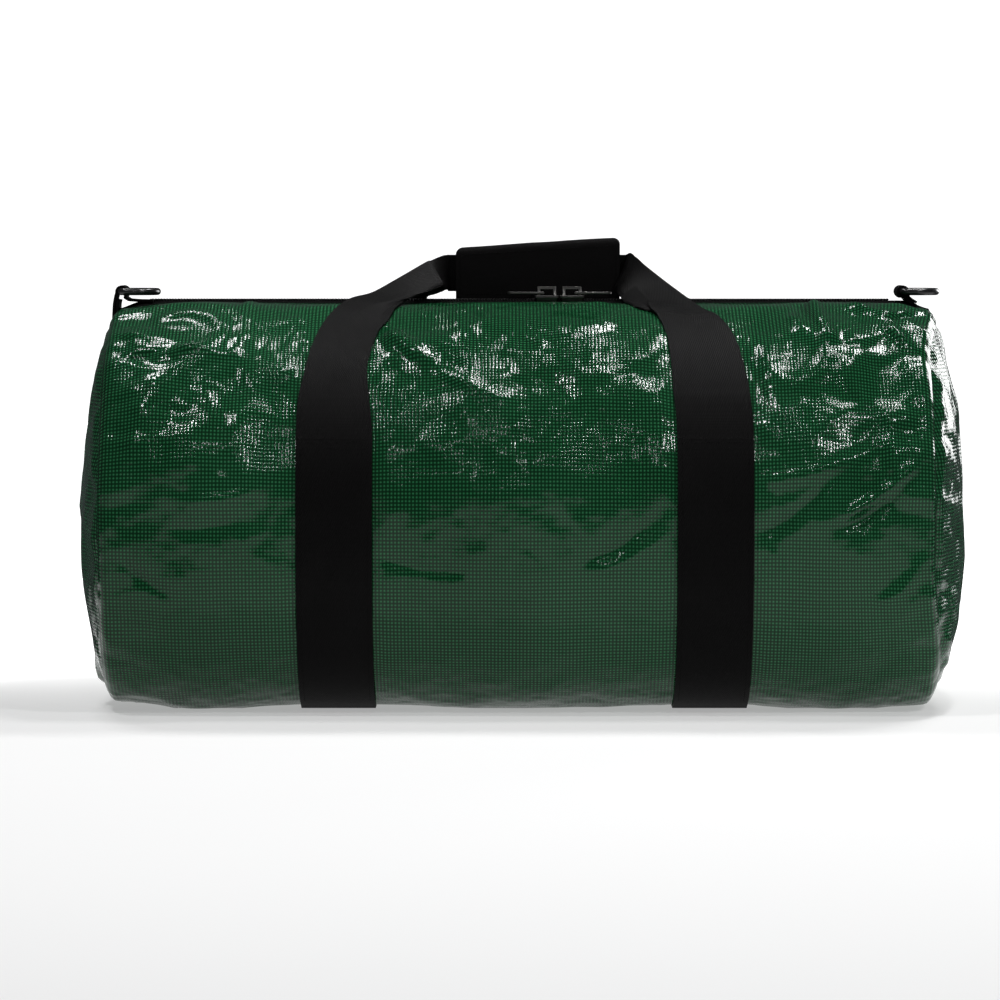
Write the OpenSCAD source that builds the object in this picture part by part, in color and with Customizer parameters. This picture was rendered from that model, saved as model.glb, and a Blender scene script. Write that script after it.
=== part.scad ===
// Rope storage bag: a soft duffel with a top zip, two webbing carry handles held
// together by a padded hook-and-loop wrap, and a D-ring at each end of the zip.
// Millimetres. Origin: bottom centre on the floor. +X right, +Y to the rear, +Z up.

/* [Bag] */
// Length between the two end seams
bag_l = 570; // [400:1:900]
// Half of the depth, front to rear
half_d = 156; // [100:1:220]
// Height of the widest line above the floor
mid_z = 138; // [90:1:200]
// Rise from the widest line to the crest
crown = 142; // [90:1:200]
// Drop from the widest line, before the floor flattens it
drop = 142; // [90:1:200]
// Squareness of the lower half
sag = 2.9; // [2:0.1:4]
// Coated mesh thickness
wall = 1.6; // [1:0.1:3]
// Bulge of each end panel beyond its seam
dome = 20; // [0:1:30]

/* [Straps] */
// Webbing width
strap_w = 50.8; // [25:0.1:60]
// Webbing thickness
strap_t = 2; // [1:0.1:3]
// Distance of each strap's centre line from the middle
strap_x = 127; // [80:1:200]
// Angle from the crest at which the stitching stops
sewn_from = 69; // [50:1:85]
// Width of the webbing folded lengthwise inside the wrap
grip_w = 25; // [20:1:30]
// Thickness of the folded webbing
grip_t = 3.6; // [2.5:0.1:5]
// Length of each folded grip
grip_l = 124; // [100:1:160]
// Height of the grips' centre line
grip_z = 297; // [290:1:330]

/* [Wrap] */
// Length of the padded wrap
wrap_l = 115; // [90:1:140]
// Middle of the wrap along X
wrap_x = 10; // [-20:1:20]
// Front face of the wrap
wrap_y = 8.5; // [8:0.1:20]
// Underside of the wrap
wrap_z = 280.6; // [280:0.1:300]
// Height of the wrap
wrap_h = 38; // [35:1:60]
// Padding thickness
pad = 3.2; // [2:0.1:5]
// Thickness of the hook strip and of the loop strip
velcro_t = 1; // [0.6:0.1:2]

/* [Zip] */
// Width of the slot that the zip closes
slot_w = 28; // [20:1:40]
// Length of the coil
coil_l = 518; // [400:1:540]
// Middle of the coil along X
coil_x = -4; // [-20:1:20]
// Gap between the two coils, which the slider's post runs in
coil_gap = 1.5; // [1:0.1:2]
// Top face of the tapes
tape_z = 277.1; // [270:0.1:290]
// Length of a slider
slider_l = 17; // [12:0.5:22]
// Point where the two sliders meet
meet_x = 25; // [-100:1:100]
// Length of a pull, from its pivot
pull_l = 25; // [18:1:35]

/* [D-rings] */
// Wire diameter
ring_d = 5; // [4:0.5:8]
// Mean radius of the bow
ring_r = 16; // [12:1:24]
// Straight part between the bar and the bow
ring_leg = 8; // [4:1:16]
// Width of the tab
tab_w = 25.4; // [20:0.1:30]
// Bar of the left ring along X
ring_lx = -280; // [-290:1:-250]
// Bar of the right ring along X
ring_rx = 264; // [250:1:290]
// Height of both bars
ring_z = 284.3; // [280:0.1:300]

/* [Hidden] */
floor_z = strap_t + 0.05; // underside of the bag between the straps
arc = 4.5; // degrees between points of the profile
slider_h = tape_z + 2.7; // underside of a slider's top plate
pivot_z = tape_z + 6.2; // axis of a pull
ring_bore = ring_d / 2 + 0.08;
tab_r = ring_bore + 1.5;
lip_y = wrap_y + pad + 2 * velcro_t + 0.3; // front of the inner lip of the wrap
grip_y1 = lip_y + 2.8; // front grip lies against the lip
grip_y2 = grip_y1 + grip_t + 1.2; // rear grip lies against the rear wall
wrap_back_y = grip_y2 + grip_t;
wrap_top = wrap_z + wrap_h;
$fn = 64;

GREEN = [0.10, 0.22, 0.14];
BLACK = [0.09, 0.09, 0.10];
DARK = [0.20, 0.20, 0.21];

// Point of the bag's profile at t degrees from the crest (0 top, 90 rear, 270 front),
// moved out by o. Upper half an ellipse, lower half a squarer curve, flat on the floor.
function pw(v, e) = sign(v) * pow(abs(v), e);
function side(t, o) = cos(t) >= 0
    ? [(half_d + o) * sin(t), mid_z + (crown + o) * cos(t)]
    : [(half_d + o) * pw(sin(t), 2 / sag),
       max(floor_z - o, mid_z + (drop + o) * pw(cos(t), 2 / sag))];

// Points from t1 to t2, and the band between two offsets
function line(t1, t2, o) = let (n = ceil((t2 - t1) / arc))
    [for (i = [0 : n]) side(t1 + (t2 - t1) * i / n, o)];
function rev(a) = [for (i = [len(a) - 1 : -1 : 0]) a[i]];
function band(t1, t2, o1, o2) = concat(line(t1, t2, o2), rev(line(t1, t2, o1)));

// Extrudes a [y, z] outline along X, centred on x
module along_x(x, l) {
    translate([x - l / 2, 0, 0]) rotate([90, 0, 90]) linear_extrude(l) children();
}

module body_wrap() {
    slot_t = asin(slot_w / 2 / half_d);
    color(GREEN) along_x(0, bag_l)
        polygon(band(slot_t, 360 - slot_t, -wall, 0));
}

// Domed panel inside the end of the wrap: the profile shrunk in rings towards its middle
module end_panel() {
    ring = line(0, 360 - arc, -wall - 0.25);
    n = len(ring);
    scales = [1, 0.96, 0.88, 0.76, 0.6, 0.4, 0.2];
    function skin(dx) = [for (s = scales) for (p = ring)
        [bag_l / 2 + dx + dome * (1 - pow(s, 5)), s * p[0], mid_z + s * (p[1] - mid_z)]];
    pts = concat(skin(0), skin(-wall),
        [[bag_l / 2 + dome, 0, mid_z], [bag_l / 2 + dome - wall, 0, mid_z]]);
    m = len(scales);
    half = n * m;
    function quad(a, b, c, d, flip) = flip ? [[a, c, b], [a, d, c]] : [[a, b, c], [a, c, d]];
    function wallf(base, flip) = [for (k = [0 : m - 2]) for (i = [0 : n - 1]) let (j = (i + 1) % n)
        each quad(base + k * n + i, base + k * n + j, base + (k + 1) * n + j, base + (k + 1) * n + i, flip)];
    function cap(base, tip, flip) = [for (i = [0 : n - 1]) let (j = (i + 1) % n, b = base + (m - 1) * n)
        flip ? [b + i, tip, b + j] : [b + i, b + j, tip]];
    function rim() = [for (i = [0 : n - 1]) let (j = (i + 1) % n) each quad(i, half + i, half + j, j, false)];
    polyhedron(pts, concat(wallf(0, false), cap(0, 2 * half, false),
        wallf(half, true), cap(half, 2 * half + 1, true), rim()), convexity = 6);
}

module right_end_panel() {
    color(GREEN) end_panel();
}

module left_end_panel() {
    color(GREEN) mirror([1, 0, 0]) end_panel();
}

module zip_tape() {
    translate([-bag_l / 2 + 2, coil_gap / 2, tape_z - 1]) cube([bag_l - 4, 19.2 - coil_gap / 2, 1]);
}

module rear_zip_tape() {
    color(BLACK) zip_tape();
}

module front_zip_tape() {
    color(BLACK) mirror([0, 1, 0]) zip_tape();
}

module zip_coil() {
    along_x(coil_x, coil_l) polygon([
        [coil_gap / 2, tape_z], [coil_gap / 2, tape_z + 1.6], [coil_gap / 2 + 0.7, tape_z + 2.3],
        [coil_gap / 2 + 2, tape_z + 2.3], [coil_gap / 2 + 2.7, tape_z + 1.5], [coil_gap / 2 + 2.7, tape_z]
    ]);
}

module rear_zip_coil() {
    color(DARK) zip_coil();
}

module front_zip_coil() {
    color(DARK) mirror([0, 1, 0]) zip_coil();
}

// Slider for the right of the meeting point: two plates joined by a post between the
// coils, flanges beside them, and a bridge that holds the pull
module slider() {
    cx = meet_x + slider_l / 2 + 0.3;
    difference() {
        union() {
            intersection() {
                translate([cx - slider_l / 2, -6, slider_h]) cube([slider_l, 12, 1.8]);
                translate([cx, 0, slider_h - 1]) scale([1.4, 1.4, 1]) cylinder(r = 7, h = 4);
            }
            translate([cx - slider_l / 2, -5, tape_z - 3]) cube([slider_l, 10, 1.6]);
            translate([cx - 3, -0.45, tape_z - 2.4]) cube([6, 0.9, 6]);
            for (s = [-1, 1])
                translate([cx - slider_l / 2 + 1.5, s * 5.2 - 0.6, tape_z + 0.5])
                    cube([slider_l - 3, 1.2, slider_h - tape_z]);
            translate([cx - 6.5, -1.5, slider_h]) cube([13, 3, 8]);
        }
        translate([cx - 4.5, -2, slider_h + 1.8]) cube([9, 4, 4.4]);
    }
}

module right_slider() {
    color(DARK) slider();
}

module left_slider() {
    color(DARK) translate([2 * meet_x, 0, 0]) mirror([1, 0, 0]) slider();
}

// Pull lying outward: a bar under the bridge, two arms past it and a finger plate
module pull() {
    px = meet_x + slider_l / 2 + 0.3 + 2.6;
    difference() {
        union() {
            translate([px, 3.6, pivot_z]) rotate([90, 0, 0]) cylinder(r = 0.9, h = 7.2);
            translate([px, -3.6, pivot_z - 0.8]) cube([pull_l - 3.6, 7.2, 1.6]);
            translate([px + pull_l - 3.6, 0, pivot_z - 0.8]) cylinder(r = 3.6, h = 1.6);
        }
        translate([px + 0.85, -2.3, pivot_z - 2]) cube([10, 4.6, 4]);
        translate([px - 4, -2.3, pivot_z - 2]) cube([3.1, 4.6, 4]);
    }
}

module right_pull() {
    color(DARK) pull();
}

module left_pull() {
    color(DARK) translate([2 * meet_x, 0, 0]) mirror([1, 0, 0]) pull();
}

// Webbing sewn to the bag, from the front, under the bottom and up the rear
module right_body_strap() {
    color(BLACK) along_x(strap_x, strap_w)
        polygon(band(sewn_from, 360 - sewn_from, 0.25, strap_t));
}

module left_body_strap() {
    color(BLACK) mirror([1, 0, 0]) right_body_strap();
}

// Free webbing swept through stations [centre, width direction, width, thickness]
function blend(a, b, c, d, u) = let (u2 = u * u, u3 = u2 * u)
    0.5 * (2 * b + (c - a) * u + (2 * a - 5 * b + 4 * c - d) * u2 + (3 * b - a - 3 * c + d) * u3);
function at(s, k, u) = let (n = len(s) - 1)
    [for (f = [0 : 3]) blend(s[max(k - 1, 0)][f], s[k][f], s[min(k + 1, n)][f], s[min(k + 2, n)][f], u)];
function unit(v) = v / norm(v);

module ribbon(stations, steps = 4) {
    path = concat([for (k = [0 : len(stations) - 2]) for (i = [0 : steps - 1]) at(stations, k, i / steps)],
        [stations[len(stations) - 1]]);
    n = len(path);
    pts = [for (i = [0 : n - 1]) let (
            t = unit(path[min(i + 1, n - 1)][0] - path[max(i - 1, 0)][0]),
            u = unit(path[i][1]), w = unit(cross(t, u)),
            c = path[i][0], a = path[i][2] / 2, b = path[i][3] / 2)
        each [c - a * u - b * w, c + a * u - b * w, c + a * u + b * w, c - a * u + b * w]];
    sides = [for (i = [0 : n - 2]) for (j = [0 : 3]) let (k = (j + 1) % 4)
        each [[4 * i + j, 4 * i + 4 + k, 4 * i + k], [4 * i + j, 4 * i + 4 + j, 4 * i + 4 + k]]];
    e = 4 * (n - 1);
    polyhedron(pts, concat(sides, [[0, 1, 2], [0, 2, 3], [e, e + 2, e + 1], [e, e + 3, e + 2]]), convexity = 8);
}

// Centre of free webbing lying on the bag, at t degrees from the crest on side s
function lying(x, t, s, lift) = let (p = side(t, strap_t / 2 + 0.6 + lift)) [x, s * p[0], p[1]];

// Free run on side m (1 right, -1 left) and side s (-1 front, 1 rear): off the bag, over
// its shoulder and into the wrap, where it is folded to half its width
module run(m, s) {
    y = (s < 0 ? grip_y1 : grip_y2) + grip_t / 2;
    gx = wrap_x + m * (grip_l / 2 + 1.2);
    k = m > 0 ? 1 : 1.3;
    ribbon(concat([
        [lying(m * strap_x, sewn_from - 0.6, s, 0), [m, 0, 0], strap_w, strap_t],
        [lying(m * (strap_x - 1), sewn_from - 10, s, 0.6), [m, 0, 0.01], strap_w, strap_t],
        [lying(m * (strap_x - 3), sewn_from - 22, s, 0.8), [m, -0.02 * s, 0.02], strap_w, strap_t],
        [lying(m * (strap_x - 8), sewn_from - 34, s, 1.5), [m, -0.08 * s, 0.08], strap_w - 2, strap_t],
        [lying(m * (strap_x - 15), sewn_from - 44, s, 3), [m, -0.2 * s, 0.2], strap_w - 4, strap_t + 0.2]
    ], s < 0 ? [
        [[gx + m * 30 * k, -44, grip_z - 16], [0.72 * m, 0.55, 0.42], 42, 2.8],
        [[gx + m * 18 * k, -26, grip_z - 8], [0.5 * m, 0.68, 0.56], 34, 3.2],
        [[gx + m * 10 * k, -5, grip_z + 3], [0.35 * m, 0.3, 0.89], grip_w, grip_t],
        [[gx + m * 4, y - 2.5, grip_z + 1], [0.06 * m, 0.05, 1], grip_w, grip_t]
    ] : [
        [[gx + m * 29 * k, 58, grip_z - 16], [0.72 * m, -0.5, 0.48], 42, 2.8],
        [[gx + m * 15 * k, 43, grip_z - 8], [0.45 * m, -0.6, 0.66], 34, 3.2],
        [[gx + m * 4, y + 3, grip_z], [0.06 * m, -0.05, 1], grip_w, grip_t]
    ], [[[gx, y, grip_z], [0, 0, 1], grip_w, grip_t]]));
}

module front_left_run() {
    color(BLACK) run(-1, -1);
}

module front_right_run() {
    color(BLACK) run(1, -1);
}

module rear_left_run() {
    color(BLACK) run(-1, 1);
}

module rear_right_run() {
    color(BLACK) run(1, 1);
}

module grip(y) {
    translate([wrap_x - grip_l / 2, y, grip_z - grip_w / 2]) cube([grip_l, grip_t, grip_w]);
}

module front_grip() {
    color(BLACK) grip(grip_y1);
}

module rear_grip() {
    color(BLACK) grip(grip_y2);
}

// Rear wall, floor and front lip of the wrap
module wrap_back() {
    color(BLACK) along_x(wrap_x, wrap_l) difference() {
        translate([lip_y, wrap_z]) square([wrap_back_y + 4 - lip_y, wrap_h - pad - 0.5]);
        translate([lip_y + 2.8, wrap_z + 3]) square([wrap_back_y - lip_y - 2.8, wrap_h]);
        translate([lip_y - 1, wrap_z + 19]) square([5, wrap_h]);
    }
}

// Front face and top of the wrap, folded at the rear top edge
module wrap_flap() {
    color(BLACK) intersection() {
        along_x(wrap_x, wrap_l) difference() {
            translate([wrap_y, wrap_z + 1]) square([wrap_back_y + 4 - wrap_y, wrap_h - 1]);
            translate([wrap_y + pad, wrap_z - 1]) square([wrap_back_y + 5 - wrap_y, wrap_h - pad + 1]);
        }
        translate([0, wrap_back_y + 5, 0]) rotate([90, 0, 0]) linear_extrude(40)
            corner_square(wrap_x - wrap_l / 2, wrap_z, wrap_l, wrap_h, 7);
    }
}

// Rectangle with round corners, from exact parts
module corner_square(x, y, w, h, r) {
    translate([x + r, y]) square([w - 2 * r, h]);
    translate([x, y + r]) square([w, h - 2 * r]);
    for (dx = [r, w - r], dy = [r, h - r]) translate([x + dx, y + dy]) circle(r);
}

module loop_strip() {
    color(DARK) translate([wrap_x - wrap_l / 2 + 8, wrap_y + pad, wrap_z + 4])
        cube([wrap_l - 16, velcro_t, 14]);
}

module hook_strip() {
    color(DARK) translate([wrap_x - wrap_l / 2 + 8, lip_y - velcro_t, wrap_z + 4])
        cube([wrap_l - 16, velcro_t, 14]);
}

// Folded tab: a foot from x1 to x2, out of the end seam, and a barrel round the ring's bar
module ring_tab(x, x1, x2) {
    difference() {
        union() {
            translate([x1, -tab_w / 2, tape_z]) cube([x2 - x1, tab_w, ring_z - tape_z - tab_r + 0.8]);
            translate([x, tab_w / 2, ring_z]) rotate([90, 0, 0]) cylinder(r = tab_r, h = tab_w);
            translate([x - 3, -tab_w / 2, tape_z + 1]) cube([6, tab_w, ring_z - tape_z - tab_r]);
        }
        translate([x, tab_w, ring_z]) rotate([90, 0, 0]) cylinder(r = ring_bore, h = 2 * tab_w);
    }
}

module left_ring_tab() {
    color(BLACK) ring_tab(ring_lx, 2.2 - bag_l / 2, ring_lx + 13);
}

module right_ring_tab() {
    color(BLACK) ring_tab(ring_rx, ring_rx - 6, bag_l / 2 - 2.2);
}

// D-ring lying flat, its bar along Y at the origin and its bow towards +X: lengths of
// round wire that meet end to end
module d_ring() {
    c = 3; // radius of the two corners
    translate([0, ring_r - c, 0]) rotate([90, 0, 0]) cylinder(r = ring_d / 2, h = 2 * (ring_r - c));
    for (s = [0, 1]) mirror([0, s, 0]) {
        translate([c, ring_r - c, 0]) rotate([0, 0, 90]) rotate_extrude(angle = 90)
            translate([c, 0]) circle(ring_d / 2);
        translate([c, ring_r, 0]) rotate([0, 90, 0]) cylinder(r = ring_d / 2, h = ring_leg - c);
    }
    translate([ring_leg, 0, 0]) rotate([0, 0, -90]) rotate_extrude(angle = 180)
        translate([ring_r, 0]) circle(ring_d / 2);
}

module left_d_ring() {
    color(BLACK) translate([ring_lx, 0, ring_z]) d_ring();
}

module right_d_ring() {
    color(BLACK) translate([ring_rx, 0, ring_z]) d_ring();
}

body_wrap();
left_end_panel();
right_end_panel();
front_zip_tape();
rear_zip_tape();
front_zip_coil();
rear_zip_coil();
left_slider();
right_slider();
left_pull();
right_pull();
left_body_strap();
right_body_strap();
front_left_run();
front_right_run();
rear_left_run();
rear_right_run();
front_grip();
rear_grip();
wrap_back();
wrap_flap();
hook_strip();
loop_strip();
left_ring_tab();
right_ring_tab();
left_d_ring();
right_d_ring();
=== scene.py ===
"""Rope storage bag: a glossy coated-mesh duffel with webbing carry handles, a padded handle wrap,
a top zip with two sliders, and a D-ring at each end of the zip."""

import math

import bpy
import numpy as np
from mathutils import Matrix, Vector, noise


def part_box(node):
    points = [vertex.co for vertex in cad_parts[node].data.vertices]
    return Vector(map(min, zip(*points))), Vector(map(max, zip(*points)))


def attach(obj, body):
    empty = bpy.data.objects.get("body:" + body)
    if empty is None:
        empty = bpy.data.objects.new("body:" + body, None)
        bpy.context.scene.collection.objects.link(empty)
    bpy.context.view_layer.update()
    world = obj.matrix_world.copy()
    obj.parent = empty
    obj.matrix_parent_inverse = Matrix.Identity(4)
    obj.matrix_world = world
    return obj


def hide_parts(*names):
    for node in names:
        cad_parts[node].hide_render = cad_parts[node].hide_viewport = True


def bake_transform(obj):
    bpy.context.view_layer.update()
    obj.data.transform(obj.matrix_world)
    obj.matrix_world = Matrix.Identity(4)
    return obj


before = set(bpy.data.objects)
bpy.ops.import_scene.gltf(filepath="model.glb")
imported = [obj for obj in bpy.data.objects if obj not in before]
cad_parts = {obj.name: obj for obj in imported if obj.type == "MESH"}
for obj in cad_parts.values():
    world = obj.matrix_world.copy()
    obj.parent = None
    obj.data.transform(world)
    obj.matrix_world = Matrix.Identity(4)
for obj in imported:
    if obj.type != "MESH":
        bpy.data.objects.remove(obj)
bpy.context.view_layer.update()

MM = 0.001

# ---------------------------------------------------------------- camera

LOOK_AT = Vector((-0.0165, 0.0, 0.1383))
CAMERA_DISTANCE = 3.0
CAMERA_ELEVATION = math.radians(3.5)
SENSOR = 36.0
VIEW_WIDTH = 0.701


def set_camera():
    data = bpy.data.cameras.new("camera")
    data.sensor_width = SENSOR
    data.lens = SENSOR * CAMERA_DISTANCE / VIEW_WIDTH
    data.clip_start, data.clip_end = 0.05, 60.0
    camera = bpy.data.objects.new("camera", data)
    bpy.context.collection.objects.link(camera)
    back = Vector((0.0, -math.cos(CAMERA_ELEVATION), math.sin(CAMERA_ELEVATION)))
    camera.location = LOOK_AT + back * CAMERA_DISTANCE
    camera.rotation_euler = (-back).to_track_quat("-Z", "Y").to_euler()
    bpy.context.scene.camera = camera


set_camera()

# ---------------------------------------------------------------- materials


class Wire:
    """One output of a finish, with Python's operators for its sums."""

    def __init__(self, finish, socket):
        self.finish, self.socket = finish, socket

    def math(self, operation, *others):
        values = {i: v for i, v in enumerate((self, *others))}
        return self.finish.node("ShaderNodeMath", {"operation": operation}, values)

    def __add__(self, other):
        return self.math("ADD", other)

    def __sub__(self, other):
        return self.math("SUBTRACT", other)

    def __mul__(self, other):
        return self.math("MULTIPLY", other)

    def __rsub__(self, other):
        return self.finish.node("ShaderNodeMath", {"operation": "SUBTRACT"}, {0: other, 1: self})

    __radd__ = __add__
    __rmul__ = __mul__

    def sine(self):
        return self.math("SINE")

    def smooth(self, low, high):
        settings = {"interpolation_type": "SMOOTHSTEP"}
        return self.finish.node("ShaderNodeMapRange", settings, {0: self, 1: low, 2: high})


class Finish:
    """A procedural material."""

    def __init__(self, name):
        self.material = bpy.data.materials.new(name)
        self.material.use_nodes = True
        self.tree = self.material.node_tree
        self.tree.nodes.clear()

    def raw(self, kind, settings=None, inputs=None):
        node = self.tree.nodes.new(kind)
        for key, value in (settings or {}).items():
            setattr(node, key, value)
        for key, value in (inputs or {}).items():
            if isinstance(value, Wire):
                self.tree.links.new(value.socket, node.inputs[key])
            elif isinstance(value, tuple) and len(value) == 3 and node.inputs[key].type == "RGBA":
                node.inputs[key].default_value = (*value, 1.0)
            else:
                node.inputs[key].default_value = value
        return node

    def node(self, kind, settings=None, inputs=None, output=0):
        return Wire(self, self.raw(kind, settings, inputs).outputs[output])

    def place(self):
        """The point's place on the piece, in metres."""
        return self.node("ShaderNodeTexCoord", output="Object")

    def cloth_uv(self):
        """The piece's own UV map, in metres, as two wires."""
        uv = self.node("ShaderNodeUVMap", {"uv_map": "UVMap"})
        split = self.raw("ShaderNodeSeparateXYZ", None, {0: uv})
        return Wire(self, split.outputs[0]), Wire(self, split.outputs[1])

    def noise(self, scale, detail=3.0, rough=0.5):
        values = {"Vector": self.place(), "Scale": scale, "Detail": detail, "Roughness": rough}
        return self.node("ShaderNodeTexNoise", None, values)

    def mix(self, factor, a, b):
        return self.node(
            "ShaderNodeMix", {"data_type": "RGBA"}, {0: factor, 6: a, 7: b}, output=2
        )

    def bump(self, height, distance, strength=1.0, under=None):
        values = {"Height": height, "Distance": distance, "Strength": strength}
        if under is not None:
            values["Normal"] = under
        return self.node("ShaderNodeBump", None, values)

    def surface(self, **inputs):
        """The closing shader. Underscores in a name stand for spaces."""
        values = {key.replace("_", " "): value for key, value in inputs.items()}
        shader = self.raw("ShaderNodeBsdfPrincipled", None, values)
        out = self.raw("ShaderNodeOutputMaterial")
        self.tree.links.new(shader.outputs[0], out.inputs["Surface"])
        return self.material


TAU = 2 * math.pi
MESH_ACROSS, MESH_ALONG = 2.4 * MM, 2.5 * MM
TWILL_ACROSS, TWILL_ALONG, RIB = 1.6 * MM, 3.4 * MM, 0.85 * MM
STRAP_WIDTH = 50.8 * MM


def mesh_fabric():
    """Scrim between two glossy green films: a grid of small pillows, ribbed by its yarns."""
    f = Finish("mesh_fabric")
    u, v = f.cloth_uv()
    drift = f.noise(9.0, 2.0)
    across = (u * (TAU / MESH_ACROSS) + drift * 2.0).sine() * 0.5 + 0.5
    along = (v * (TAU / MESH_ALONG) + drift * 2.0).sine() * 0.5 + 0.5
    pillow = across * along
    patch = f.noise(26.0, 3.0).smooth(0.40, 0.66)
    crumple = f.noise(55.0, 5.0, 0.62)
    wide = f.noise(5.0, 3.0, 0.55)
    deep = f.mix(wide.smooth(0.35, 0.65), (0.0024, 0.022, 0.0078), (0.0042, 0.032, 0.012))
    yarn = f.mix(wide.smooth(0.3, 0.7), (0.016, 0.128, 0.046), (0.028, 0.160, 0.065))
    colour = f.mix(pillow.smooth(0.10, 0.90) * 0.85, deep, yarn)
    gap = ((1.0 - across) * (1.0 - along)).smooth(0.5, 0.95)
    colour = f.mix(gap * 0.6, colour, (0.001, 0.010, 0.004))
    height = pillow * (0.35 + patch * 0.65) + across * 0.25
    broad = f.noise(17.0, 3.0, 0.5)
    normal = f.bump(broad, 0.010, 0.8)
    normal = f.bump(crumple, 0.0006, 0.8, normal)
    normal = f.bump(height, 0.00014, 1.0, normal)
    rough = 0.09 + crumple * 0.06
    return f.surface(
        Base_Color=colour, Roughness=rough, Normal=normal, IOR=1.5, Specular_IOR_Level=0.22,
    )


def webbing():
    """Heavy woven strap: fine ribs set in slanting rows."""
    f = Finish("webbing")
    u, v = f.cloth_uv()
    twill = (u * (TAU / TWILL_ACROSS) + v * (TAU / TWILL_ALONG)).sine() * 0.5 + 0.5
    rib = (v * (TAU / RIB)).sine() * 0.5 + 0.5
    stripe = (u * (TAU / (STRAP_WIDTH / 4))).sine() * 0.5 + 0.5
    fuzz = f.noise(420.0, 3.0, 0.6)
    wear = f.noise(14.0, 4.0, 0.6).smooth(0.45, 0.75)
    weave = twill * 0.6 + rib * 0.4
    raised = (weave * 0.7 + wear * 0.3) * (0.6 + fuzz * 0.5)
    colour = f.mix(raised, (0.0010, 0.0009, 0.0010), (0.0058, 0.0055, 0.0056))
    normal = f.bump(weave * 0.8 + fuzz * 0.3 + stripe * 0.1, 0.00018, 0.8)
    return f.surface(
        Base_Color=colour, Roughness=0.42 + fuzz * 0.15, Normal=normal,
        Specular_IOR_Level=0.045,
    )


def plain_weave(name, base, lift, pitch, specular):
    """Flat cloth of one colour, its crossings lighter."""
    f = Finish(name)
    u, v = f.cloth_uv()
    warp = (u * (TAU / pitch)).sine() * 0.5 + 0.5
    weft = (v * (TAU / pitch)).sine() * 0.5 + 0.5
    fuzz = f.noise(300.0, 3.0, 0.6)
    weave = warp * weft + (1.0 - warp) * (1.0 - weft)
    colour = f.mix(weave * 0.6 + fuzz * 0.3, base, lift)
    normal = f.bump(weave + fuzz * 0.5, 0.00015, 0.7)
    return f.surface(
        Base_Color=colour, Roughness=0.7 + fuzz * 0.12, Normal=normal,
        Specular_IOR_Level=specular,
    )


def pile(name, base, lift, scale):
    """The tufted face of a hook or loop strip."""
    f = Finish(name)
    tuft = f.noise(scale, 2.0, 0.7)
    colour = f.mix(tuft.smooth(0.4, 0.7), base, lift)
    normal = f.bump(tuft, 0.0006, 0.9)
    return f.surface(Base_Color=colour, Roughness=0.85, Normal=normal, Specular_IOR_Level=0.2)


def moulded(name, base, rough, metallic=0.0, specular=0.5):
    """Nylon or metal with a fine grain and scuffed patches."""
    f = Finish(name)
    fine = f.noise(900.0, 2.0)
    scuff = f.noise(60.0, 5.0, 0.65)
    worn = scuff.smooth(0.5, 0.8)
    lifted = tuple(min(1.0, c * 1.8 + 0.01) for c in base)
    colour = f.mix(worn * 0.5, base, lifted)
    normal = f.bump(fine * 0.5 + scuff * 0.5, 0.04 * MM, 0.6)
    return f.surface(
        Base_Color=colour, Roughness=rough + worn * 0.12, Metallic=metallic, Normal=normal,
        Specular_IOR_Level=specular,
    )


GREEN_MESH = mesh_fabric()
BLACK_WEBBING = webbing()
WRAP_CLOTH = plain_weave(
    "wrap_cloth", (0.0010, 0.0009, 0.0010), (0.0056, 0.0052, 0.0054), 1.1 * MM, 0.05
)
TAPE_CLOTH = plain_weave(
    "zip_tape_cloth", (0.003, 0.003, 0.003), (0.009, 0.009, 0.009), 0.8 * MM, 0.0
)
HOOKS = pile("hook_pile", (0.006, 0.006, 0.006), (0.03, 0.03, 0.03), 1400.0)
LOOPS = pile("loop_pile", (0.005, 0.005, 0.005), (0.022, 0.022, 0.022), 700.0)
COIL_NYLON = moulded("coil_nylon", (0.006, 0.006, 0.006), 0.5, specular=0.10)
GUNMETAL = moulded("gunmetal", (0.16, 0.155, 0.15), 0.28, metallic=1.0)
RING_PLASTIC = moulded("ring_plastic", (0.006, 0.006, 0.0065), 0.24)
THREAD = plain_weave("thread", (0.002, 0.002, 0.002), (0.007, 0.007, 0.007), 0.4 * MM, 0.05)

# ---------------------------------------------------------------- making and joining meshes


def only(obj):
    """Leaves obj the one selected and active object."""
    bpy.ops.object.select_all(action="DESELECT")
    obj.select_set(True)
    bpy.context.view_layer.objects.active = obj
    return obj


def apply_modifier(obj, kind, **settings):
    """Adds a modifier of this kind and applies it."""
    only(obj)
    modifier = obj.modifiers.new(kind.lower(), kind)
    for key, value in settings.items():
        setattr(modifier, key, value)
    bpy.ops.object.modifier_apply(modifier=modifier.name)
    return obj


def coords(obj):
    co = np.empty(len(obj.data.vertices) * 3, np.float32)
    obj.data.vertices.foreach_get("co", co)
    return co.reshape(-1, 3).astype(float)


def set_coords(obj, points):
    obj.data.vertices.foreach_set("co", np.asarray(points, np.float32).ravel())
    obj.data.update()


def smooth(obj, angle=40.0):
    only(obj)
    bpy.ops.object.shade_smooth_by_angle(angle=math.radians(angle))
    return obj


def dress(obj, material, body=None):
    """Gives a piece its material and slot, and the body that it rides on."""
    obj.data.materials.clear()
    obj.data.materials.append(material)
    if body:
        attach(obj, body)
    return obj


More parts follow.
